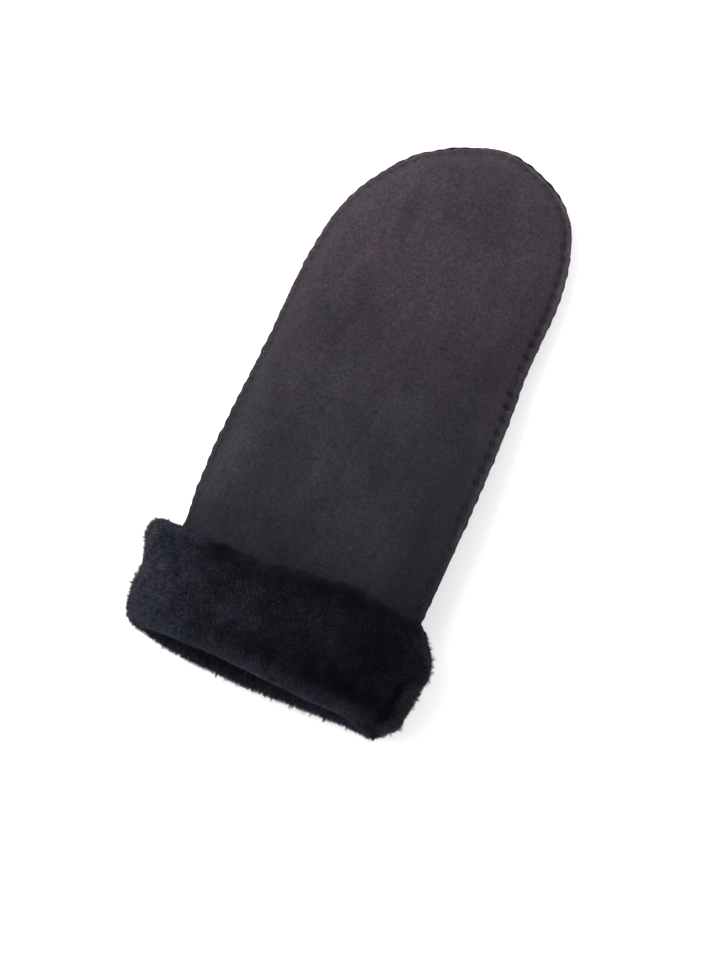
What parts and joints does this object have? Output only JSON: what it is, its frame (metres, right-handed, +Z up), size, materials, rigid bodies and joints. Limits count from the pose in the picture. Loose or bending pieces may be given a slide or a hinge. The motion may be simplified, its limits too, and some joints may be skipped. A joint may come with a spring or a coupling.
{
  "type": "shearling mitten",
  "caption": "Left-hand mitten of suede sheepskin lying palm down, pile inside, with a turned-up wool cuff and a thumb folded under the palm.",
  "frame": {"origin": "on the table under the middle of the mitten's outer box", "axes": "+Y from the cuff to the fingertips, +X from the little finger's side to the thumb's side, +Z up through the back of the hand"},
  "size_m": [0.1514, 0.301, 0.055],
  "materials": {
    "suede": "napped black-brown suede with a soft mottled sheen",
    "wool": "dense sheared black wool pile",
    "thread": "dull dark sewing thread"
  },
  "bodies": {
    "root": {"back_panel": "suede", "palm_panel": "suede", "thumb_outer_panel": "suede", "thumb_palm_panel": "suede", "cuff_back_skin": "suede", "cuff_palm_skin": "suede", "cuff_back_fleece": "wool", "cuff_palm_fleece": "wool", "mouth_back_fleece": "wool", "mouth_palm_fleece": "wool", "back_lining_hand": "wool", "back_lining_fingers": "wool", "palm_lining_hand": "wool", "palm_lining_fingers": "wool", "thumb_outer_lining": "wool", "thumb_palm_lining": "wool"}
  },
  "joints": []
}
